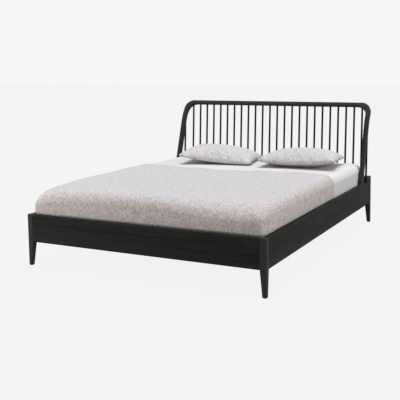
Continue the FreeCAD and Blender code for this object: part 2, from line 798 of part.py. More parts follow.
def pillow(aside, back, turn, tilt, support):
    """A filled pillow with pointed corners and a seam all round, laid down on the mattress."""
    across = [math.sin(math.radians(a)) for a in (-90, -60, -30, 0, 30, 60, 90)]
    wires = []
    for a in (-90, -68, -45, -22, 0, 22, 45, 68, 90):
        t = math.sin(math.radians(a))
        half = pillow_depth / 2 - pillow_draw_in * (1 - t ** 2)
        curves = []
        for rise in (pillow_upper, -pillow_lower):
            edge = math.copysign(pillow_edge / 2, rise)
            points = []
            for v in across:
                fullness = ((1 - t ** 2) * (1 - v ** 2)) ** 0.45
                points.append(Vec(t * pillow_length / 2, v * half, edge + (rise - edge) * fullness))
            curve = Part.BSplineCurve()
            curve.interpolate(points)
            curves.append(curve.toShape())
        ends = [Part.LineSegment(curves[0].valueAt(curves[0].LastParameter),
                                 curves[1].valueAt(curves[1].LastParameter)).toShape(),
                Part.LineSegment(curves[1].valueAt(curves[1].FirstParameter),
                                 curves[0].valueAt(curves[0].FirstParameter)).toShape()]
        wires.append(Part.Wire(Part.__sortEdges__(curves + ends)))
    body = Part.makeLoft(wires, True, False)
    body.rotate(Vec(0, 0, 0), Vec(0, 1, 0), tilt)
    body.rotate(Vec(0, 0, 0), UP, turn)
    body.translate(Vec(aside, mattress_head - back, mattress_edge_top + mattress_crown + 2 * pillow_lower))
    for _ in range(4):
        body.translate(DOWN * (body.distToShape(support)[0] - soft_gap))
    return body


# ---------------------------------------------------------------- the nodes

for end, name in ((-1, "foot_rail"), (1, "back_rail")):
    save(name, cross_rail(end))
for side in (-1, 1):
    save("side_rail_" + side_name(side), side_rail(side))
    save("leg_front_" + side_name(side), leg(side, -1))
    save("leg_rear_" + side_name(side), leg(side, 1))
    save("hoop_post_" + side_name(side), hoop_post(side))
    save("hoop_corner_" + side_name(side), hoop_corner(side))
    save("ledge_" + side_name(side), ledge(side))
    save("slats_" + side_name(side), slats(side))
save("hoop_top_rail", hoop_top_rail())
save("headboard_board", headboard_board())
for number, (foot, top) in enumerate(spindle_places(), 1):
    save("spindle_%02d" % number, spindle(foot, top))

save("centre_beam", centre_beam())
save("centre_legs", Part.makeCompound([centre_leg(y) for y in centre_leg_ys()]))
save("beam_hangers", Part.makeCompound([beam_hanger(end) for end in (-1, 1)]))
save("slat_tapes", slat_tapes())
save("leg_glides", leg_glides())

save("corner_plates", Part.makeCompound([corner_plate(s, e) for s in (-1, 1) for e in (-1, 1)]))
save("corner_bolts", corner_bolts())
save("corner_nuts", corner_nuts())
save("bracket_screws", Part.makeCompound([screw(*place) for place in bracket_screws()]))
save("ledge_screws", ledge_screws())
frame_dowels = [pin(middle, direction, dowel_radius, dowel_length)
                for s in (-1, 1) for e in (-1, 1) for middle, direction in corner_dowels(s, e)]
frame_dowels += [pin(middle, UP, dowel_radius, dowel_length)
                 for middle in board_dowels(True) + board_dowels(False)]
frame_dowels += centre_leg_studs()
save("frame_dowels", Part.makeCompound(frame_dowels))
hoop_pins = [pin(middle, post_axis, thin_dowel_radius, post_dowel_length)
             for side in (-1, 1) for middle in post_dowels(side)]
hoop_pins += [pin(middle, direction, thin_dowel_radius, hoop_dowel_length)
              for middle, direction in hoop_dowels()]
save("hoop_dowels", Part.makeCompound(hoop_pins))

mattress = pad(0.0, 0.0, mattress_bulge)
save("mattress", mattress)
save("blanket", blanket())
save("pillow_left", pillow(pillow_left_aside, pillow_left_back, pillow_left_turn, pillow_left_tilt, mattress))
save("pillow_right", pillow(pillow_right_aside, pillow_right_back, pillow_right_turn, pillow_right_tilt,
                            mattress))

print("overall length %.1f, hoop reaches %.1f behind the rear legs" % (total_length, hoop_behind + hoop_reach))
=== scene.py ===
import json
import math

import bmesh
import bpy
from mathutils import Matrix, Vector, noise

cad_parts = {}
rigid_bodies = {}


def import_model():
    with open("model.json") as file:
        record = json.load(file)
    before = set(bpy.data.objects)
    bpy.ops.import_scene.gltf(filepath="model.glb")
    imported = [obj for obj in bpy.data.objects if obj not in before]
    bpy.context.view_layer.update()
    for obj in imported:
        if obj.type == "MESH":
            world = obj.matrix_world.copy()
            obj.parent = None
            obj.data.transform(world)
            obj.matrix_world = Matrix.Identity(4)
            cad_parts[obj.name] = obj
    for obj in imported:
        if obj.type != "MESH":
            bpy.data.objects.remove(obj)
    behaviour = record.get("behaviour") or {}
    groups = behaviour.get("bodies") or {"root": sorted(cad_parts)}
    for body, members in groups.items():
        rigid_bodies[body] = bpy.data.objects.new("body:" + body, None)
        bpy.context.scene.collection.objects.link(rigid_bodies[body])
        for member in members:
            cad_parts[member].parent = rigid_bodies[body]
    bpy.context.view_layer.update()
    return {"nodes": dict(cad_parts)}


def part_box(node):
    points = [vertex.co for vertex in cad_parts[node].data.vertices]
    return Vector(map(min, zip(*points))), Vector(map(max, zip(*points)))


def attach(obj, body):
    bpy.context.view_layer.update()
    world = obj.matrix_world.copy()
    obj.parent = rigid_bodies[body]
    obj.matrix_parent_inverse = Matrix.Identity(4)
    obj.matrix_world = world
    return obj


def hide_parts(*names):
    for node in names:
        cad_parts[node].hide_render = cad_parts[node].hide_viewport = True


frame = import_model()
nodes = frame["nodes"]


def deselectAll():
    for other in bpy.context.view_layer.objects:
        other.select_set(False)


def makeActive(piece):
    deselectAll()
    piece.select_set(True)
    bpy.context.view_layer.objects.active = piece


def applyModifiers(piece):
    makeActive(piece)
    for modifier in list(piece.modifiers):
        bpy.ops.object.modifier_apply(modifier=modifier.name)


def smoothShade(piece, angle):
    makeActive(piece)
    bpy.ops.object.shade_smooth_by_angle(angle=math.radians(angle))


def cutCube(name, cuts):
    deselectAll()
    bpy.ops.mesh.primitive_cube_add(size=2, location=(0, 0, 0))
    piece = bpy.context.object
    piece.name = piece.data.name = name
    bpy.ops.object.mode_set(mode="EDIT")
    bpy.ops.mesh.select_all(action="SELECT")
    bpy.ops.mesh.subdivide(number_cuts=cuts)
    bpy.ops.object.mode_set(mode="OBJECT")
    return piece


def place(low, high, value):
    # where a value lies between two others, 0 to 1
    return min(max((value - low) / (high - low), 0.0), 1.0)


def ease(low, high, value):
    # the same, with a soft start and end
    t = place(low, high, value)
    return t * t * (3 - 2 * t)


def alongLine(line, x):
    # height of a line of points at x, eased from point to point
    for (x0, y0), (x1, y1) in zip(line, line[1:]):
        if x <= x1:
            return y0 + (y1 - y0) * ease(x0, x1, x)
    return line[-1][1]


def newGroup(name, inputs, outputs):
    tree = bpy.data.node_groups.new(name, "ShaderNodeTree")
    for label, kind, value in inputs:
        socket = tree.interface.new_socket(label, in_out="INPUT", socket_type=kind)
        if value is not None:
            socket.default_value = value
    for label, kind in outputs:
        tree.interface.new_socket(label, in_out="OUTPUT", socket_type=kind)
    return tree, tree.nodes.new("NodeGroupInput"), tree.nodes.new("NodeGroupOutput")


def addNode(tree, kind, settings=None, **values):
    node = tree.nodes.new(kind)
    for key, value in (settings or {}).items():
        setattr(node, key, value)
    for key, value in values.items():
        node.inputs[key.replace("_", " ")].default_value = value
    return node


def mathNode(tree, operation, a, b=None):
    node = tree.nodes.new("ShaderNodeMath")
    node.operation = operation
    for index, value in enumerate((a, b)):
        if value is None:
            continue
        if isinstance(value, (int, float)):
            node.inputs[index].default_value = value
        else:
            tree.links.new(value, node.inputs[index])
    return node.outputs[0]


def mapRange(tree, value, low, high, toLow, toHigh):
    node = tree.nodes.new("ShaderNodeMapRange")
    tree.links.new(value, node.inputs["Value"])
    for key, number in (("From Min", low), ("From Max", high), ("To Min", toLow), ("To Max", toHigh)):
        node.inputs[key].default_value = number
    return node.outputs["Result"]


def mixColour(tree, factor, a, b):
    node = tree.nodes.new("ShaderNodeMix")
    node.data_type = "RGBA"
    for index, value in ((0, factor), (6, a), (7, b)):
        if isinstance(value, (int, float, tuple)):
            node.inputs[index].default_value = value
        else:
            tree.links.new(value, node.inputs[index])
    return node.outputs[2]


def buildGrainGroup():
    # long pores and soft figure, stretched along one direction of the part
    tree, start, end = newGroup("woodGrain", [
        ("Vector", "NodeSocketVector", None), ("Along", "NodeSocketVector", (1.0, 1.0, 1.0)),
        ("Dark", "NodeSocketColor", (0.01, 0.01, 0.01, 1)),
        ("Light", "NodeSocketColor", (0.03, 0.03, 0.03, 1)),
        ("Pore Depth", "NodeSocketFloat", 0.5)],
        [("Color", "NodeSocketColor"), ("Roughness", "NodeSocketFloat"), ("Height", "NodeSocketFloat")])
    links = tree.links
    stretch = tree.nodes.new("ShaderNodeVectorMath")
    stretch.operation = "MULTIPLY"
    links.new(start.outputs["Vector"], stretch.inputs[0])
    links.new(start.outputs["Along"], stretch.inputs[1])
    figure = addNode(tree, "ShaderNodeTexNoise", Scale=9.0, Detail=4.0, Roughness=0.55, Distortion=0.6)
    fibre = addNode(tree, "ShaderNodeTexNoise", Scale=150.0, Detail=3.0, Roughness=0.6)
    pores = addNode(tree, "ShaderNodeTexNoise", Scale=330.0, Detail=2.0, Roughness=0.5)
    for texture in (figure, fibre, pores):
        links.new(stretch.outputs[0], texture.inputs["Vector"])
    poreMask = mapRange(tree, pores.outputs["Fac"], 0.54, 0.66, 0.0, 1.0)
    tone = mathNode(tree, "ADD", mathNode(tree, "MULTIPLY", figure.outputs["Fac"], 0.6),
                    mathNode(tree, "MULTIPLY", fibre.outputs["Fac"], 0.4))
    tone = mapRange(tree, tone, 0.36, 0.66, 0.0, 1.0)
    colour = mixColour(tree, tone, start.outputs["Dark"], start.outputs["Light"])
    shade = mathNode(tree, "MULTIPLY", start.outputs["Pore Depth"], 0.6)
    shade = mathNode(tree, "MULTIPLY", poreMask, shade)
    colour = mixColour(tree, shade, colour, (0.002, 0.002, 0.002, 1))
    links.new(colour, end.inputs["Color"])
    rough = mathNode(tree, "ADD", mapRange(tree, fibre.outputs["Fac"], 0.3, 0.7, 0.56, 0.7),
                     mathNode(tree, "MULTIPLY", poreMask, 0.2))
    links.new(rough, end.inputs["Roughness"])
    height = mathNode(tree, "SUBTRACT", mathNode(tree, "MULTIPLY", fibre.outputs["Fac"], 0.5),
                      mathNode(tree, "MULTIPLY", poreMask, start.outputs["Pore Depth"]))
    links.new(height, end.inputs["Height"])
    return tree


def buildClothGroup():
    # heathered yarn: pale and dark flecks drawn out along the cloth, over a fine crossed weave
    tree, start, end = newGroup("heatherWeave", [
        ("Vector", "NodeSocketVector", None),
        ("Deep", "NodeSocketColor", (0.2, 0.18, 0.16, 1)), ("Mid", "NodeSocketColor", (0.45, 0.42, 0.4, 1)),
        ("Pale", "NodeSocketColor", (0.7, 0.68, 0.66, 1)), ("Tint", "NodeSocketColor", (1, 1, 1, 1)),
        ("Hang", "NodeSocketFloat", 0.0), ("Fleck", "NodeSocketFloat", 0.5),
        ("Hung Fleck", "NodeSocketFloat", 0.5), ("Thread Size", "NodeSocketFloat", 0.0022)],
        [("Color", "NodeSocketColor"), ("Height", "NodeSocketFloat")])
    links = tree.links
    split = tree.nodes.new("ShaderNodeSeparateXYZ")
    links.new(start.outputs["Vector"], split.inputs[0])

    def stretched(x, y, scale, detail, rough=0.6):
        joined = tree.nodes.new("ShaderNodeCombineXYZ")
        links.new(mathNode(tree, "MULTIPLY", split.outputs[0], x), joined.inputs[0])
        links.new(mathNode(tree, "MULTIPLY", split.outputs[1], y), joined.inputs[1])
        links.new(split.outputs[2], joined.inputs[2])
        texture = addNode(tree, "ShaderNodeTexNoise", Scale=scale, Detail=detail, Roughness=rough)
        links.new(joined.outputs[0], texture.inputs["Vector"])
        return texture.outputs["Fac"]

    def threads(axis):
        turns = mathNode(tree, "MULTIPLY", split.outputs[axis], 2 * math.pi)
        return mathNode(tree, "SINE", mathNode(tree, "DIVIDE", turns, start.outputs["Thread Size"]))

    cloud = stretched(1.0, 0.8, 22.0, 4.0)
    slub = stretched(1.5, 0.42, 110.0, 5.0, 0.75)
    fleck = stretched(1.3, 0.6, 330.0, 3.0, 0.7)
    crossed = mathNode(tree, "MULTIPLY", threads(1), threads(0))
    tone = mathNode(tree, "ADD", mathNode(tree, "MULTIPLY", slub, 0.5),
                    mathNode(tree, "MULTIPLY", cloud, 0.12))
    tone = mathNode(tree, "ADD", tone, mathNode(tree, "MULTIPLY", fleck, 0.38))
    # the contrast grows from Fleck to Hung Fleck where the cloth hangs
    more = mathNode(tree, "SUBTRACT", start.outputs["Hung Fleck"], start.outputs["Fleck"])
    more = mathNode(tree, "MULTIPLY", more, start.outputs["Hang"])
    spread = mathNode(tree, "MULTIPLY", mathNode(tree, "ADD", start.outputs["Fleck"], more), 8.0)
    tone = mathNode(tree, "MULTIPLY", mathNode(tree, "SUBTRACT", tone, 0.5), spread)
    tone = mathNode(tree, "ADD", 0.5, tone)
    dark = mapRange(tree, tone, 0.5, 0.05, 0.0, 1.0)
    pale = mapRange(tree, tone, 0.5, 0.95, 0.0, 1.0)
    colour = mixColour(tree, dark, start.outputs["Mid"], start.outputs["Deep"])
    colour = mixColour(tree, pale, colour, start.outputs["Pale"])
    # where the cloth hangs its colour is multiplied darker and warmer: painted shade on the sides and
    # undersides
    hungShade = mixColour(tree, start.outputs["Hang"], (1, 1, 1, 1), start.outputs["Tint"])
    shaded = addNode(tree, "ShaderNodeMix", {"data_type": "RGBA", "blend_type": "MULTIPLY"})
    shaded.inputs[0].default_value = 1.0
    links.new(colour, shaded.inputs[6])
    links.new(hungShade, shaded.inputs[7])
    links.new(shaded.outputs[2], end.inputs["Color"])
    height = mathNode(tree, "ADD", mathNode(tree, "MULTIPLY", fleck, 0.7),
                      mathNode(tree, "MULTIPLY", crossed, 0.12))
    height = mathNode(tree, "ADD", slub, height)
    links.new(height, end.inputs["Height"])
    return tree


grainGroup = buildGrainGroup()
clothGroup = buildClothGroup()
clothSurface = {"Roughness": 0.95, "Specular IOR Level": 0.2, "Sheen Weight": 0.1, "Sheen Roughness": 0.6}


def newMaterial(name):
    material = bpy.data.materials.new(name)
    material.use_nodes = True
    material.node_tree.nodes.clear()
    tree = material.node_tree
    surface = tree.nodes.new("ShaderNodeBsdfPrincipled")
    output = tree.nodes.new("ShaderNodeOutputMaterial")
    tree.links.new(surface.outputs[0], output.inputs["Surface"])
    return material, tree, surface


def bumpInto(tree, surface, height, strength, distance):
    bump = addNode(tree, "ShaderNodeBump", Strength=strength, Distance=distance)
    tree.links.new(height, bump.inputs["Height"])
    tree.links.new(bump.outputs["Normal"], surface.inputs["Normal"])


def makeWood(name, along, dark, light, poreDepth, specular=0.05):
    # along: how much each direction is squeezed, small where the grain runs
    material, tree, surface = newMaterial(name)
    coordinates = tree.nodes.new("ShaderNodeTexCoord")
    grain = tree.nodes.new("ShaderNodeGroup")
    grain.node_tree = grainGroup
    grain.inputs["Along"].default_value = along
    grain.inputs["Dark"].default_value = (*dark, 1)
    grain.inputs["Light"].default_value = (*light, 1)
    grain.inputs["Pore Depth"].default_value = poreDepth
    tree.links.new(coordinates.outputs["Object"], grain.inputs["Vector"])
    tree.links.new(grain.outputs["Color"], surface.inputs["Base Color"])
    tree.links.new(grain.outputs["Roughness"], surface.inputs["Roughness"])
    surface.inputs["Specular IOR Level"].default_value = specular
    bumpInto(tree, surface, grain.outputs["Height"], 0.35, 0.0004)
    return material


def makeCloth(name, deep, mid, pale, fleck, thread, bump, distance, hung=None, hungShade=(1, 1, 1)):
    material, tree, surface = newMaterial(name)
    coordinates = tree.nodes.new("ShaderNodeUVMap")
    coordinates.uv_map = "weave"
    cloth = tree.nodes.new("ShaderNodeGroup")
    cloth.node_tree = clothGroup
    for label, value in (("Deep", deep), ("Mid", mid), ("Pale", pale), ("Tint", hungShade)):
        cloth.inputs[label].default_value = (*value, 1)
    cloth.inputs["Fleck"].default_value = fleck
    cloth.inputs["Hung Fleck"].default_value = fleck if hung is None else hung
    if hung is not None:
        hang = addNode(tree, "ShaderNodeAttribute", {"attribute_name": "hang"})
        tree.links.new(hang.outputs["Fac"], cloth.inputs["Hang"])
    cloth.inputs["Thread Size"].default_value = thread
    tree.links.new(coordinates.outputs["UV"], cloth.inputs["Vector"])
    tree.links.new(cloth.outputs["Color"], surface.inputs["Base Color"])
    for label, value in clothSurface.items():
        surface.inputs[label].default_value = value
    bumpInto(tree, surface, cloth.outputs["Height"], bump, distance)
    return material


def markHang(piece, low, high, power):
    # how far each point of a cloth has turned down, for its material, which paints shade there with a darker,
    # warmer colour and draws its flecks stronger
    layer = piece.data.attributes.new("hang", "FLOAT", "POINT")
    piece.data.update()
    for vertex, entry in zip(piece.data.vertices, layer.data):
        entry.value = (1 - place(low, high, vertex.normal.z)) ** power


def makePlain(name, colour, metallic, low, high, scale=60.0):
    # low and high: the range of the roughness
    material, tree, surface = newMaterial(name)
    coordinates = tree.nodes.new("ShaderNodeTexCoord")
    texture = addNode(tree, "ShaderNodeTexNoise", Scale=scale, Detail=3.0, Roughness=0.6)
    tree.links.new(coordinates.outputs["Object"], texture.inputs["Vector"])
    tree.links.new(mapRange(tree, texture.outputs["Fac"], 0.3, 0.7, low, high), surface.inputs["Roughness"])
    tone = mixColour(tree, texture.outputs["Fac"], tuple(0.86 * c for c in colour) + (1,), (*colour, 1))
    tree.links.new(tone, surface.inputs["Base Color"])
    surface.inputs["Metallic"].default_value = metallic
    bumpInto(tree, surface, texture.outputs["Fac"], 0.15, 0.0003)
    return material


frameWood = {"dark": (0.0135, 0.0142, 0.0135), "light": (0.035, 0.037, 0.035), "poreDepth": 0.55}
# the hoop and legs take the frame's stained oak made lighter: painted light, standing for the satin
# highlights they catch
litHoopWood = {"dark": (0.019, 0.0198, 0.019), "light": (0.046, 0.048, 0.046), "poreDepth": 0.5}
# the spindles take the same stained oak made much darker: painted shade, so they read solid dark
shadedSpindleWood = {"dark": (0.0045, 0.0048, 0.0045), "light": (0.01, 0.0105, 0.01), "poreDepth": 0.3}
grainRuns = {"cross": (0.035, 1.0, 1.0), "length": (1.0, 0.035, 1.0), "upright": (1.0, 1.0, 0.035)}
stained = {run: makeWood("stainedOak" + run.capitalize(), along, frameWood["dark"], frameWood["light"],
                         frameWood["poreDepth"]) for run, along in grainRuns.items()}
# lighter copy of the stained oak for the hoop and legs: painted light
paintedLight = {run: makeWood("paintedLightOak" + run.capitalize(), grainRuns[run], litHoopWood["dark"], litHoopWood["light"],
                        litHoopWood["poreDepth"], 0.16) for run in ("cross", "upright")}
# darker copy of the stained oak for the spindles: painted shade
shadedSpindleFinish = makeWood("shadedSpindles", grainRuns["upright"], shadedSpindleWood["dark"], shadedSpindleWood["light"],
                         shadedSpindleWood["poreDepth"], 0.04)
birch = makeWood("bareBirch", grainRuns["cross"], (0.52, 0.36, 0.2), (0.74, 0.57, 0.37), 0.1)
pine = makeWood("planedPine", grainRuns["length"], (0.45, 0.3, 0.16), (0.7, 0.52, 0.32), 0.15)
beech = makeWood("bareBeech", grainRuns["upright"], (0.5, 0.34, 0.2), (0.68, 0.49, 0.32), 0.1)
zinc = makePlain("zincPlate", (0.55, 0.56, 0.58), 1.0, 0.28, 0.42)
glidePlastic = makePlain("glidePlastic", (0.05, 0.05, 0.05), 0.0, 0.4, 0.55)
tapeWeave = makePlain("tapeWeave", (0.74, 0.73, 0.7), 0.0, 0.85, 0.95, 400.0)


# the first row that fits the start of a node's name gives its material; the bedding is built below
finishes = (
    (("foot_rail", "back_rail", "headboard_board"), stained["cross"]),
    (("hoop_top_rail",), paintedLight["cross"]),
    (("side_rail",), stained["length"]),
    (("spindle_",), shadedSpindleFinish),
    (("hoop_dowels", "frame_dowels"), beech),
    (("leg_front", "leg_rear", "hoop_"), paintedLight["upright"]),
    (("slats_",), birch),
    (("ledge_screws", "bracket_screws", "beam_hangers", "corner_"), zinc),
    (("ledge_", "centre_beam"), pine),
    (("centre_legs",), stained["upright"]),
    (("leg_glides",), glidePlastic),
    (("slat_tapes",), tapeWeave))


def dressNode(name):
    for starts, material in finishes:
        if name.startswith(starts):
            nodes[name].data.materials.clear()
            nodes[name].data.materials.append(material)
            return


for name in nodes:
    dressNode(name)
print("frame finishes done")


# A box whose upper face is bent down at its sides and ends. An open one has no underside and no head end.
# The UV map "weave" says where each point lies on the flat cloth, in metres.
def padForm(name, form):
    piece = cutCube(name, form["cuts"])
    mesh = bmesh.new()
    mesh.from_mesh(piece.data)
    if form["open"]:
        drop = [face for face in mesh.faces if face.normal.z < -0.9 or face.normal.y > 0.9]
        bmesh.ops.delete(mesh, geom=drop, context="FACES")
    weave = mesh.loops.layers.uv.new("weave")
    width = form["halfWidth"]
    power, r = form["cornerPower"], form["cornerRound"]
    headRound, headFall = form["headRound"], form["headFall"]
    foot, head, low = form["foot"], form["head"], form["low"]

    def across(c, end):
        # place and fall of one crosswise coordinate; the left foot corner may be softer
        limit = form["sideShare"]
        soft = form["softCorner"] * (1 - ease(-0.98, -0.25, end)) * (c < 0)
        sideRound, sideFall = form["sideRound"] + soft, form["sideFall"] + 0.6 * soft
        if abs(c) <= limit:
            return c / limit * (width - sideRound), 0.0
        turn = (abs(c) - limit) / (1 - limit) * math.pi / 2
        reach = width - sideRound + sideRound * math.sin(turn)
        return math.copysign(reach, c), sideFall * (1 - math.cos(turn))

    def along(c, x):
        footRound, footFall = alongLine(form["footRound"], x), alongLine(form["footFall"], x)
        footLimit, headLimit = -1 + form["footShare"], 1 - form["headShare"]
        if c < footLimit:
            turn = (footLimit - c) / (footLimit + 1) * math.pi / 2
            return foot + footRound - footRound * math.sin(turn), footFall * (1 - math.cos(turn))
        if c > headLimit and headRound:
            turn = (c - headLimit) / (1 - headLimit) * math.pi / 2
            return head - headRound + headRound * math.sin(turn), headFall * (1 - math.cos(turn))
        t = (c - footLimit) / (headLimit - footLimit)
        return foot + footRound + t * (head - headRound - foot - footRound), 0.0

    for vertex in mesh.verts:
        cx, cy, cz = vertex.co
        x, fallX = across(cx, cy)
        y, fallY = along(cy, x)
        fall = (fallX ** power + fallY ** power) ** (1 / power)
        rim = form["top"](x, y) - fall
        z = rim if cz > 0.999 else low + (rim - low) * (cz + 1) / 2
        # the upright corners are rounded in plan: points outside the arc move in to it
        dx = abs(x) - (width - r)
        for end, edge in ((-1, foot), (1, head)):
            dy = (y - edge) * end + r
            if dx > 0 and dy > 0 and (end < 0 or headRound):
                reach = math.hypot(dx, dy)
                if reach > r:
                    x = math.copysign(width - r + dx * r / reach, x)
                    y = edge + end * (dy * r / reach - r)
        vertex.co = (x, y, z)
    mesh.normal_update()
    for face in mesh.faces:
        normal = face.normal
        for loop in face.loops:
            p = loop.vert.co
            if abs(normal.x) > 0.75 and abs(normal.x) > abs(normal.y):
                side = math.copysign(1, normal.x)
                loop[weave].uv = (side * (width + form["top"](width, 0) - p.z), p.y)
            elif abs(normal.y) > 0.75:
                end = math.copysign(1, normal.y)
                edge = head if end > 0 else foot
                loop[weave].uv = (p.x, edge + end * (form["top"](0, edge) - p.z))
            else:
                loop[weave].uv = (p.x, p.y)
    mesh.to_mesh(piece.data)
    mesh.free()
    return piece


def displace(piece, amount):
    # moves each vertex along its normal by a function of its place
    piece.data.update()
    normals = [vertex.normal.copy() for vertex in piece.data.vertices]
    for vertex, normal in zip(piece.data.vertices, normals):
        vertex.co += normal * amount(vertex.co, normal)
    piece.data.update()


def subdivideOnce(piece):
    modifier = piece.modifiers.new("finer", "SUBSURF")
    modifier.levels = modifier.render_levels = 1
    modifier.uv_smooth = "PRESERVE_BOUNDARIES"
    applyModifiers(piece)


mattressLow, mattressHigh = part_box("mattress")
mattressForm = {
    "cuts": 47, "open": False, "halfWidth": mattressHigh.x - 0.002,
    "sideRound": 0.056, "sideFall": 0.056, "sideShare": 0.88, "softCorner": 0.07,
    "footRound": ((-0.8, 0.15), (-0.5, 0.09), (0.1, 0.09), (0.8, 0.14)),
    "footFall": ((-0.8, 0.1), (-0.5, 0.072), (0.1, 0.072), (0.8, 0.088)), "footShare": 0.2,
    "headRound": 0.04, "headFall": 0.045, "headShare": 0.08,
    "foot": mattressLow.y + 0.0005, "head": mattressHigh.y - 0.0005, "low": mattressLow.z + 0.0002,
    "cornerPower": 2.2, "cornerRound": 0.024, "uneven": 0.0012,
    "top": lambda x, y: 0.488 + 0.008 * max(1 - (x / 0.795) ** 2, 0) ** 2}


def makeMattress():
    piece = padForm("mattress_pad", mattressForm)

    def uneven(p, n):
        # the underside stays flat on the slats
        return mattressForm["uneven"] * noise.noise(p * 5.0) if n.z > -0.5 and p.z > 0.31 else 0.0

    displace(piece, uneven)
    subdivideOnce(piece)
    smoothShade(piece, 70)
    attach(piece, "root")
    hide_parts("mattress")
    return piece


ticking = makeCloth("mattressTicking", (0.8, 0.8, 0.81), (0.86, 0.86, 0.865), (0.9, 0.9, 0.905),
                    fleck=0.25, thread=0.0016, bump=0.12, distance=0.0006)
makeMattress().data.materials.append(ticking)
print("mattress done")


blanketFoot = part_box("blanket")[0].y
blanketForm = {
    "cuts": 63, "open": True, "halfWidth": 0.8005,
    "sideRound": 0.066, "sideFall": 0.06, "sideShare": 0.87, "softCorner": 0.055,
    "footRound": ((-0.8, 0.12), (-0.5, 0.085), (0.05, 0.078), (0.5, 0.14), (0.8, 0.13)),
    "footFall": ((-0.8, 0.085), (-0.5, 0.07), (0.05, 0.066), (0.5, 0.085), (0.8, 0.085)),
    "footShare": 0.26,
    "headRound": 0.0, "headFall": 0.0, "headShare": 0.0,
    "foot": blanketFoot, "head": 0.236, "low": 0.300,
    "cornerPower": 1.7, "cornerRound": 0.03,
    "top": lambda x, y: 0.503 + 0.0075 * max(1 - (x / 0.8) ** 2, 0) ** 1.5}
# line: where the head edge lies across the bed; tucked: heights between which the blanket comes free of
# the rails; rolled and rippled: how far the head edge turns up and how far the cloth behind it waves
blanketEdge = {
    "loft": 0.0135, "swell": 0.012, "waver": 0.005, "rolled": 0.003, "rippled": 0.004, "uneven": 0.0035,
    "dimpled": 0.0018, "folded": 0.002, "tucked": (0.336, 0.352),
    "line": ((-0.81, 0.2), (-0.64, 0.16), (-0.49, 0.15), (-0.3, 0.085), (-0.03, 0.06), (0.15, 0.09),
             (0.37, 0.143), (0.545, 0.19), (0.66, 0.165), (0.73, 0.165), (0.81, 0.2))}


def makeBlanket():
    piece = padForm("blanket_cover", blanketForm)
    low, head = blanketForm["foot"], blanketForm["head"]
    for vertex in piece.data.vertices:
        p = vertex.co
        waver = blanketEdge["waver"] * noise.noise(Vector((p.x * 6.0, p.z * 6.0, 3.1)))
        edge = alongLine(blanketEdge["line"], p.x) + waver
        p.y = low + (p.y - low) * (edge - low) / (head - low)
    subdivideOnce(piece)

    def swell(p, n):
        inside = alongLine(blanketEdge["line"], p.x) - p.y
        ripple = noise.noise(Vector((p.x * 5.0 + 2 * p.y, inside * 16.0, 5.0)))
        roll = blanketEdge["rolled"] * (1 - ease(0.0, 0.03, inside)) * ease(0.2, 0.8, n.z)
        roll += blanketEdge["rippled"] * (1 - ease(0.02, 0.3, inside)) * ripple * ease(0.2, 0.8, n.z)
        # nothing moves where the blanket is tucked in, and the sides are fullest just above the rails
        free = ease(*blanketEdge["tucked"], p.z)
        side = (1 - abs(n.z)) * ease(0.332, 0.35, p.z) * (1 - ease(0.36, 0.50, p.z))
        soft = blanketEdge["uneven"] * noise.noise(Vector((p.x * 3.1, p.y * 2.6, p.z * 4.0)))
        soft += blanketEdge["dimpled"] * noise.noise(Vector((p.x * 9.0, p.y * 6.5, p.z * 5.0 + 7)))
        folds = blanketEdge["folded"] * noise.noise(Vector((p.x * 16.0, p.y * 16.0, p.z * 3.0)))
        folds *= 1 - abs(n.z)
        return free * (soft + folds + roll) + blanketEdge["swell"] * side

    displace(piece, swell)
    # thinner where it is tucked in between the rails and the mattress
    group = piece.vertex_groups.new(name="loft")
    for vertex in piece.data.vertices:
        group.add([vertex.index], 0.37 + 0.63 * ease(0.33, 0.37, vertex.co.z), "REPLACE")
    shell = piece.modifiers.new("thickness", "SOLIDIFY")
    shell.thickness = blanketEdge["loft"]
    shell.offset = -1
    shell.vertex_group = "loft"
    shell.use_rim = True
    shell.use_even_offset = False
    applyModifiers(piece)
    smoothShade(piece, 70)
    markHang(piece, low=0.2, high=1.0, power=0.6)
    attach(piece, "root")
    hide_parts("blanket")
    return piece


# the blanket's sides and foot drop are painted darker and warmer where they hang: painted shade
blanketWeave = makeCloth("blanketWeave", (0.5, 0.48, 0.48), (0.74, 0.725, 0.745), (0.92, 0.905, 0.92),
                         fleck=0.55, thread=0.0024, bump=0.6, distance=0.003, hung=1.6,
                         hungShade=(0.94, 0.865, 0.81))
makeBlanket().data.materials.append(blanketWeave)
print("blanket done")


pillowForm = {"length": 0.59, "depth": 0.43, "rim": 0.005, "cuts": 35, "crownPower": 0.43, "underPower": 0.85,
              "drawIn": 0.016, "voxel": 0.006, "quality": 5, "mass": 0.3, "pressure": 4.0, "frames": 20,
              "rimCap": 0.003, "cap": 0.011}
# lift: how far the near left, far left, near right and far right corners are raised; upper and lower: how
# far the faces stand from the rim; droop: how far the middle of the near edge hangs
pillowPlaces = {
    "left": {"node": "pillow_left", "turn": 9.7, "tilt": 3.4, "lift": (0.008, 0.016, -0.01, -0.01),
             "upper": 0.078, "lower": 0.026, "droop": 0.02},
    "right": {"node": "pillow_right", "turn": 7.0, "tilt": -1.2, "lift": (0.022, -0.004, 0.016, -0.006),
              "upper": 0.08, "lower": 0.034, "droop": 0.014}}


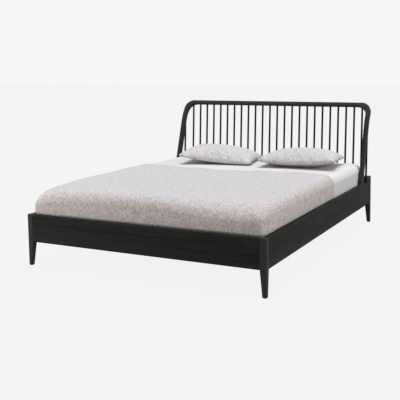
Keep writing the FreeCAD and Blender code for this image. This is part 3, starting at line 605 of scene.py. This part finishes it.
def fillCase(piece, form):
    # cloth pressure blows up a voxel copy of the case, and no point moves further than the cap
    voxels = piece.modifiers.new("voxels", "REMESH")
    voxels.mode = "VOXEL"
    voxels.voxel_size = form["voxel"]
    applyModifiers(piece)
    rest = [vertex.co.copy() for vertex in piece.data.vertices]
    cloth = piece.modifiers.new("filling", "CLOTH")
    cloth.settings.quality = form["quality"]
    cloth.settings.mass = form["mass"]
    cloth.settings.use_pressure = True
    cloth.settings.uniform_pressure_force = form["pressure"]
    cloth.settings.effector_weights.gravity = 0
    cloth.point_cache.frame_start = 1
    cloth.point_cache.frame_end = form["frames"]
    scene = bpy.context.scene
    for step in range(1, form["frames"] + 1):
        scene.frame_set(step)
    filled = piece.evaluated_get(bpy.context.evaluated_depsgraph_get()).data
    moved = [vertex.co.copy() for vertex in filled.vertices]
    piece.modifiers.remove(cloth)
    scene.frame_set(1)
    for vertex, start, end in zip(piece.data.vertices, rest, moved):
        shift = end - start
        middle = ease(0, 0.5, 1 - abs(2 * start.x / form["length"]))
        middle *= ease(0, 0.5, 1 - abs(2 * start.y / form["depth"]))
        cap = form["rimCap"] + (form["cap"] - form["rimCap"]) * middle
        if shift.length > cap:
            shift *= cap / shift.length
        vertex.co = start + shift
    piece.data.update()


def makePillow(side):
    where = pillowPlaces[side]
    low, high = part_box(where["node"])
    piece = cutCube("pillow_case_" + side, pillowForm["cuts"])
    halfLength, halfDepth, rim = pillowForm["length"] / 2, pillowForm["depth"] / 2, pillowForm["rim"]
    nearLeft, farLeft, nearRight, farRight = where["lift"]
    seed = 3.0 if side == "left" else 11.0
    for vertex in piece.data.vertices:
        a, b, c = vertex.co
        u, v = math.sin(a * math.pi / 2), math.sin(b * math.pi / 2)
        gap = max((1 - u * u) * (1 - v * v), 0.0)
        full = gap ** pillowForm["crownPower"]
        x = u * halfLength * (1 - 0.03 * (1 - v * v))
        y = v * (halfDepth - pillowForm["drawIn"] * (1 - u * u))
        top = rim + (where["upper"] - rim) * full
        under = -rim - (where["lower"] - rim) * gap ** pillowForm["underPower"]
        z = under + (top - under) * (c + 1) / 2
        # creases run in from the corners, and the face is a little uneven
        corner = (abs(u) * abs(v)) ** 2
        crease = math.sin(9 * math.atan2(abs(v) - 1.05, abs(u) - 1.05) + seed)
        uneven = 0.004 * noise.noise(Vector((x * 7, y * 7, seed)))
        z += full * (uneven + 0.003 * corner * crease) * (1 if c > 0 else 0.3)
        vertex.co = (x, y, z)
    fillCase(piece, pillowForm)
    for vertex in piece.data.vertices:
        u, v = vertex.co.x / halfLength, vertex.co.y / halfDepth
        left, right = ((1 - u) / 2) ** 2, ((1 + u) / 2) ** 2
        near, far = ((1 - v) / 2) ** 2, ((1 + v) / 2) ** 2
        vertex.co.z -= where["droop"] * max(1 - u * u, 0) * ease(0.3, 1.0, -v)
        vertex.co.z += (nearLeft * left * near + farLeft * left * far
                        + nearRight * right * near + farRight * right * far)
    subdivideOnce(piece)
    weave = piece.data.uv_layers.new(name="weave")
    for loop in piece.data.loops:
        weave.data[loop.index].uv = piece.data.vertices[loop.vertex_index].co.xy
    turn = Matrix.Rotation(math.radians(where["turn"]), 4, "Z")
    tilt = Matrix.Rotation(math.radians(where["tilt"]), 4, "Y")
    piece.data.transform(turn @ tilt)
    xs, ys, zs = ([vertex.co[axis] for vertex in piece.data.vertices] for axis in range(3))
    middle = (low + high) / 2
    move = Vector((middle.x - (min(xs) + max(xs)) / 2, middle.y - (min(ys) + max(ys)) / 2,
                   low.z + 0.0005 - min(zs)))
    piece.data.transform(Matrix.Translation(move))
    smoothShade(piece, 80)
    markHang(piece, low=-0.5, high=0.95, power=1.3)
    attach(piece, "root")
    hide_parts(where["node"])
    return piece


# the pillows' undersides and sides are painted darker and warmer: painted shade
pillowWeave = makeCloth("pillowWeave", (0.5, 0.48, 0.47), (0.75, 0.735, 0.745), (0.9, 0.88, 0.89),
                        fleck=0.9, thread=0.0018, bump=0.5, distance=0.002, hung=1.5, hungShade=(0.7, 0.65, 0.62))
for side in pillowPlaces:
    makePillow(side).data.materials.append(pillowWeave)
print("pillows done")


view = {"place": (2.3949, -4.7882, 1.3168), "turn": 0.4746, "down": 0.1085, "roll": -0.0137,
        "lens": 67.4466, "shiftX": -0.02317, "shiftY": -0.14827}
cameraData = bpy.data.cameras.new("photoCamera")
cameraData.sensor_width = 36.0
cameraData.lens = view["lens"]
cameraData.shift_x = view["shiftX"]
cameraData.shift_y = view["shiftY"]
cameraData.clip_start, cameraData.clip_end = 0.05, 60.0
camera = bpy.data.objects.new("photoCamera", cameraData)
bpy.context.scene.collection.objects.link(camera)
facing = (Matrix.Rotation(view["turn"], 4, "Z") @ Matrix.Rotation(math.pi / 2 - view["down"], 4, "X")
          @ Matrix.Rotation(view["roll"], 4, "Z"))
camera.matrix_world = Matrix.Translation(view["place"]) @ facing
bpy.context.scene.camera = camera

studio = {"background": 0.922, "floorGlow": 0.968, "floorShare": 0.09, "floorColour": (0.26, 0.255, 0.25),
          "world": 0.25, "worldColour": (1.0, 0.99, 1.0)}
softLights = {
    "overheadSoftLight": {"kind": "SUN", "from": (0.08, 0.0, 1.0), "energy": 2.1, "angle": 50.0},
    "sideSoftLight": {"kind": "SUN", "from": (1.0, 0.05, 0.2), "energy": 0.85, "angle": 40.0},
    "footSoftLight": {"kind": "AREA", "at": (-2.3, -2.6, 0.5), "to": (-0.7, -1.05, 0.4), "energy": 24.0,
                      "size": 1.0}}


# the floor and the world show the pale background to the camera and in reflections, and light the bed less
def seenDirectly(tree):
    path = tree.nodes.new("ShaderNodeLightPath")
    return path, mathNode(tree, "MAXIMUM", path.outputs["Is Camera Ray"], path.outputs["Is Glossy Ray"])


def makeFloor():
    deselectAll()
    bpy.ops.mesh.primitive_plane_add(size=60, location=(0, 0, 0))
    floor = bpy.context.object
    floor.name = "studioFloor"
    material = bpy.data.materials.new("studioFloor")
    material.use_nodes = True
    tree = material.node_tree
    tree.nodes.clear()
    light = addNode(tree, "ShaderNodeEmission", Strength=studio["floorGlow"])
    matte = tree.nodes.new("ShaderNodeBsdfDiffuse")
    matte.inputs["Color"].default_value = (*studio["floorColour"], 1)
    share = mathNode(tree, "MULTIPLY", seenDirectly(tree)[1], 1 - studio["floorShare"])
    mix = tree.nodes.new("ShaderNodeMixShader")
    output = tree.nodes.new("ShaderNodeOutputMaterial")
    tree.links.new(share, mix.inputs[0])
    tree.links.new(matte.outputs[0], mix.inputs[1])
    tree.links.new(light.outputs[0], mix.inputs[2])
    tree.links.new(mix.outputs[0], output.inputs["Surface"])
    floor.data.materials.append(material)


def makeWorld():
    world = bpy.data.worlds.new("studio")
    bpy.context.scene.world = world
    world.use_nodes = True
    tree = world.node_tree
    tree.nodes.clear()
    plain = addNode(tree, "ShaderNodeBackground", Strength=studio["world"])
    seen = addNode(tree, "ShaderNodeBackground", Strength=studio["background"])
    plain.inputs["Color"].default_value = (*studio["worldColour"], 1)
    seen.inputs["Color"].default_value = (1, 1, 1, 1)
    path, shown = seenDirectly(tree)
    shown = mathNode(tree, "MAXIMUM", shown, path.outputs["Is Transmission Ray"])
    mix = tree.nodes.new("ShaderNodeMixShader")
    output = tree.nodes.new("ShaderNodeOutputWorld")
    tree.links.new(shown, mix.inputs[0])
    tree.links.new(plain.outputs[0], mix.inputs[1])
    tree.links.new(seen.outputs[0], mix.inputs[2])
    tree.links.new(mix.outputs[0], output.inputs["Surface"])


def makeLight(name, settings):
    light = bpy.data.lights.new(name, settings["kind"])
    light.energy = settings["energy"]
    lamp = bpy.data.objects.new(name, light)
    bpy.context.scene.collection.objects.link(lamp)
    lamp.rotation_mode = "QUATERNION"
    if settings["kind"] == "SUN":
        light.angle = math.radians(settings["angle"])
        facing = Vector(settings["from"])
    else:
        light.shape, light.size = "DISK", settings["size"]
        lamp.location = settings["at"]
        facing = Vector(settings["at"]) - Vector(settings["to"])
    lamp.rotation_quaternion = facing.normalized().to_track_quat("Z", "Y")


makeFloor()
makeWorld()
for name, settings in softLights.items():
    makeLight(name, settings)
bpy.context.scene.view_settings.view_transform = "Standard"
print("studio done")
